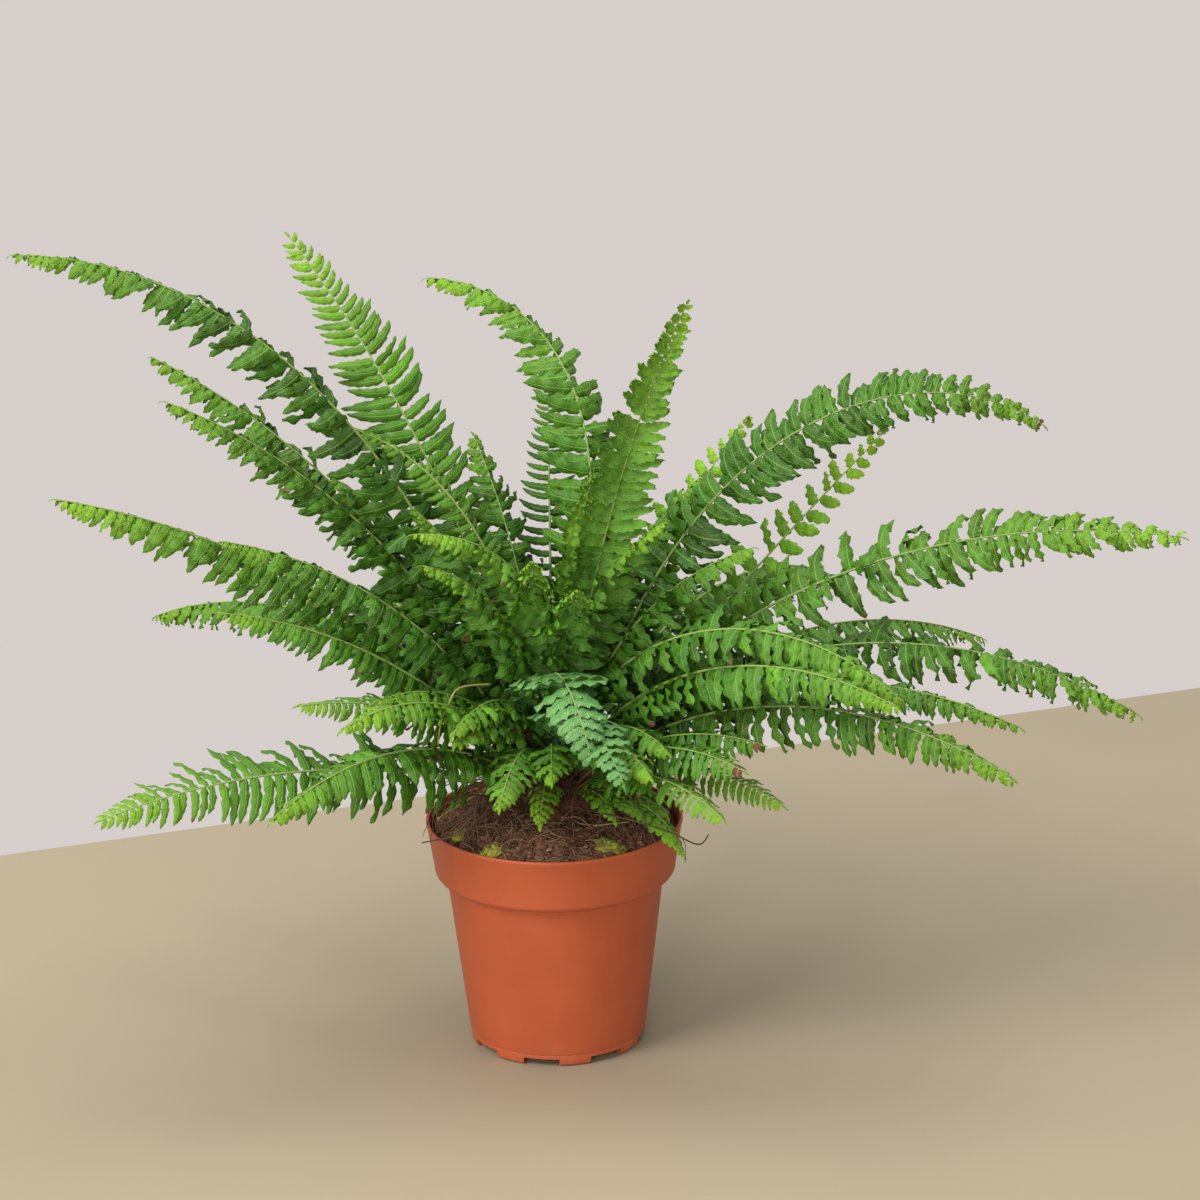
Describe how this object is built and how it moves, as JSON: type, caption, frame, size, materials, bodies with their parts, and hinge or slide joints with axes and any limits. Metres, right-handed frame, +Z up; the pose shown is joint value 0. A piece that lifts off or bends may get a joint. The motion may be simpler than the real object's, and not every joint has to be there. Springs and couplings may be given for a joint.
{
  "type": "potted fern",
  "caption": "Bushy fern with arching, toothed fronds growing from a fibrous crown in a tapered, banded plastic grower's pot that stands on its flat underside.",
  "frame": {"origin": "centre of the pot's underside, on the surface that it stands on", "axes": "+Z up along the pot's axis; +X to the right as the picture shows the plant, along its widest spread; -Y towards the viewer"},
  "size_m": [0.5256, 0.3532, 0.3834],
  "materials": {
    "pot_plastic": "matte terracotta-coloured plastic",
    "soil": "damp peat and bark compost with fine roots",
    "crown_fibre": "brown fibrous leaf bases and scales",
    "leaf_green": "satin leaf",
    "runner": "wiry brown stem",
    "moss": "soft yellow-green moss"
  },
  "bodies": {
    "root": {"pot": "pot_plastic", "soil": "soil", "crown": "crown_fibre", "frond_left_high": "leaf_green", "frond_left_upright": "leaf_green", "frond_left_mid_upper": "leaf_green", "frond_left_mid_lower": "leaf_green", "frond_left_small_tip": "leaf_green", "frond_left_long_low": "leaf_green", "frond_left_inner": "leaf_green", "frond_left_short": "leaf_green", "frond_left_tiny": "leaf_green", "frond_left_light": "leaf_green", "frond_left_bottom": "leaf_green", "frond_left_droop": "leaf_green", "frond_left_hanging": "leaf_green", "frond_front_left": "leaf_green", "frond_centre_arch": "leaf_green", "frond_centre_dark": "leaf_green", "frond_centre_over": "leaf_green", "frond_centre_young": "leaf_green", "frond_centre_right": "leaf_green", "frond_right_young_upper": "leaf_green", "frond_right_young_long": "leaf_green", "frond_right_young_short": "leaf_green", "frond_right_arch": "leaf_green", "frond_right_long": "leaf_green", "frond_right_second": "leaf_green", "frond_right_thin": "leaf_green", "frond_right_lower": "leaf_green", "frond_right_front": "leaf_green", "frond_right_over": "leaf_green", "frond_right_dark": "leaf_green", "frond_right_brown_tip": "leaf_green", "frond_right_hanging": "leaf_green", "frond_right_droop": "leaf_green", "frond_front_right": "leaf_green", "frond_front_waxy": "leaf_green", "frond_front_hanging": "leaf_green", "frond_front_tuft": "leaf_green", "frond_sporeling": "leaf_green", "frond_back_a": "leaf_green", "frond_back_b": "leaf_green", "frond_back_c": "leaf_green", "frond_back_d": "leaf_green", "frond_back_e": "leaf_green", "frond_back_f": "leaf_green", "runner_left_loop": "runner", "runner_left_wire": "runner", "runner_right_hook": "runner", "moss_front_right": "moss", "moss_front_left": "moss", "moss_left": "moss"}
  },
  "joints": []
}
